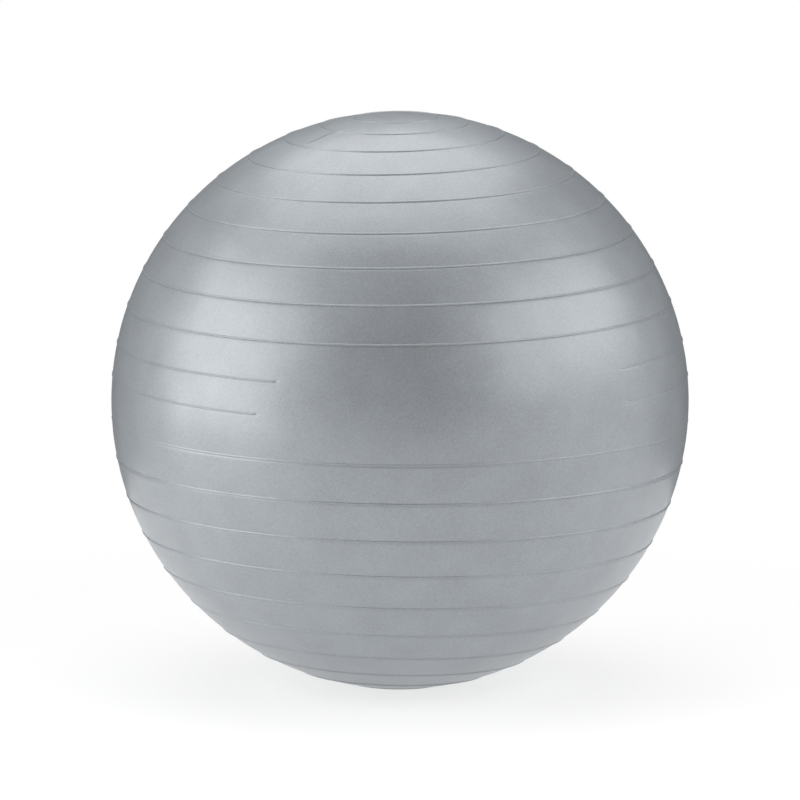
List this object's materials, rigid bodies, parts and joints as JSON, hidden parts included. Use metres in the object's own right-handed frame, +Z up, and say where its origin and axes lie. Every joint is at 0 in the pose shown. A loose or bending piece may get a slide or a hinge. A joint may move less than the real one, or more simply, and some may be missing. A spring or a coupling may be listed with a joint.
{
  "type": "exercise ball",
  "caption": "Large inflated exercise ball with a thin ribbed skin, raised rings from pole to pole, a plain front panel, and a push-in valve plug at the back.",
  "frame": {"origin": "middle of the flat patch where the inflated ball rests on the floor", "axes": "+Z up through both poles of the rings; -Y is the front, with the plain panel; +Y is the back, with the valve"},
  "size_m": [0.6508, 0.6508, 0.648],
  "materials": {
    "skin": "satin pearlescent soft PVC, silver grey",
    "valve_seat": "satin soft PVC, grey",
    "valve_plug": "smooth matt plastic, off-white"
  },
  "bodies": {
    "ball": {"ball_skin": "skin", "valve_seat": "valve_seat"},
    "plug": {"valve_plug": "valve_plug"}
  },
  "joints": [
    {"name": "plug_pull", "type": "slide", "parent": "ball", "child": "plug", "axis": [0, 1, 0], "range_m": [0, 0.035]}
  ]
}
